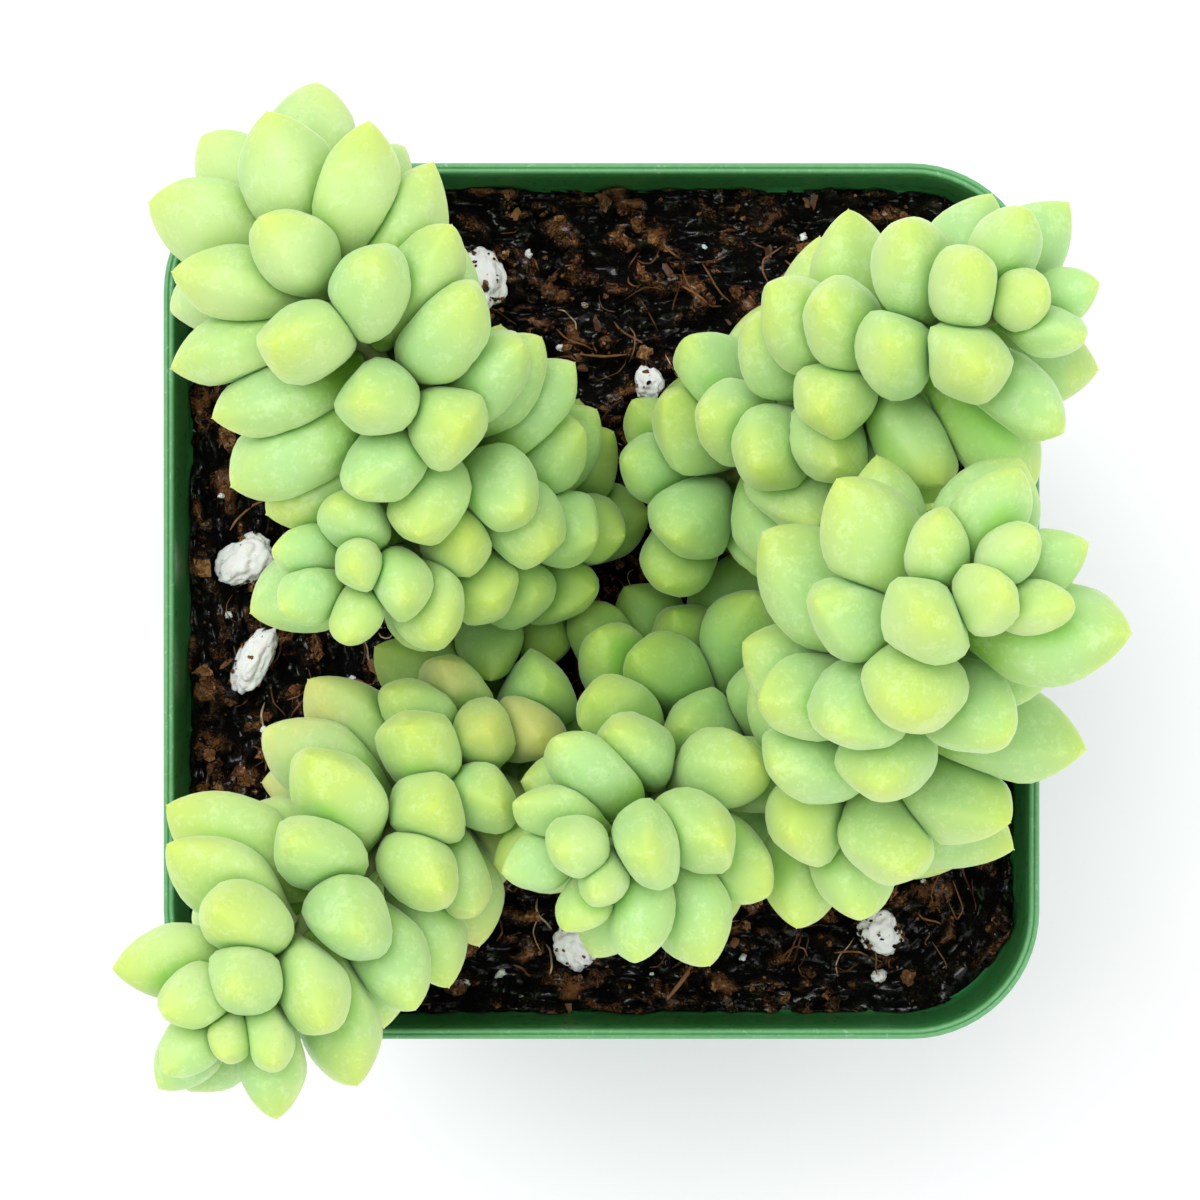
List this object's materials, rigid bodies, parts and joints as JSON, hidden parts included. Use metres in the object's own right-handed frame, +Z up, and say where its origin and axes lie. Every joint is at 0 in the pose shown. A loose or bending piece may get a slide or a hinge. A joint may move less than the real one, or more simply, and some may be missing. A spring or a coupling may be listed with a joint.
{
  "type": "potted burro's tail plant",
  "caption": "Trailing succulent with short, plump, overlapping blue-green leaves on stems that spill over the rim of a small rounded-square nursery pot.",
  "frame": {"origin": "middle of the pot's flat underside, on the surface it stands on", "axes": "+Z up out of the pot, +X to the right and +Y to the rear as seen from above with the tallest tail at the right; the pot's sides lie along X and Y"},
  "size_m": [0.0807, 0.0839, 0.1156],
  "materials": {
    "pot": "satin",
    "soil": "matte",
    "perlite": "matte",
    "stem": "matte",
    "leaf": "satin"
  },
  "bodies": {
    "root": {"pot": "pot", "soil": "soil", "perlite_left_rear": "perlite", "perlite_left_front": "perlite", "perlite_rear": "perlite", "perlite_middle_rear": "perlite", "perlite_front": "perlite", "perlite_front_right": "perlite", "stem_rear_left": "stem", "stem_mid_left": "stem", "stem_front_left": "stem", "stem_front": "stem", "stem_right": "stem", "stem_rear_right": "stem", "leaves_rear_left_1": "leaf", "leaves_rear_left_2": "leaf", "leaves_rear_left_3": "leaf", "leaves_rear_left_4": "leaf", "leaves_rear_left_5": "leaf", "leaves_rear_left_6": "leaf", "leaves_rear_left_7": "leaf", "leaves_rear_left_8": "leaf", "leaves_rear_left_9": "leaf", "leaves_mid_left_1": "leaf", "leaves_mid_left_2": "leaf", "leaves_mid_left_3": "leaf", "leaves_mid_left_4": "leaf", "leaves_mid_left_5": "leaf", "leaves_front_left_1": "leaf", "leaves_front_left_2": "leaf", "leaves_front_left_3": "leaf", "leaves_front_left_4": "leaf", "leaves_front_left_5": "leaf", "leaves_front_left_6": "leaf", "leaves_front_left_7": "leaf", "leaves_front_left_8": "leaf", "leaves_front_left_9": "leaf", "leaves_front_1": "leaf", "leaves_front_2": "leaf", "leaves_front_3": "leaf", "leaves_front_4": "leaf", "leaves_front_5": "leaf", "leaves_right_1": "leaf", "leaves_right_2": "leaf", "leaves_right_3": "leaf", "leaves_right_4": "leaf", "leaves_right_5": "leaf", "leaves_right_6": "leaf", "leaves_right_7": "leaf", "leaves_right_8": "leaf", "leaves_right_9": "leaf", "leaves_rear_right_1": "leaf", "leaves_rear_right_2": "leaf", "leaves_rear_right_3": "leaf", "leaves_rear_right_4": "leaf", "leaves_rear_right_5": "leaf", "leaves_rear_right_6": "leaf", "leaves_rear_right_7": "leaf", "leaves_rear_right_8": "leaf", "leaves_rear_right_9": "leaf"}
  },
  "joints": []
}
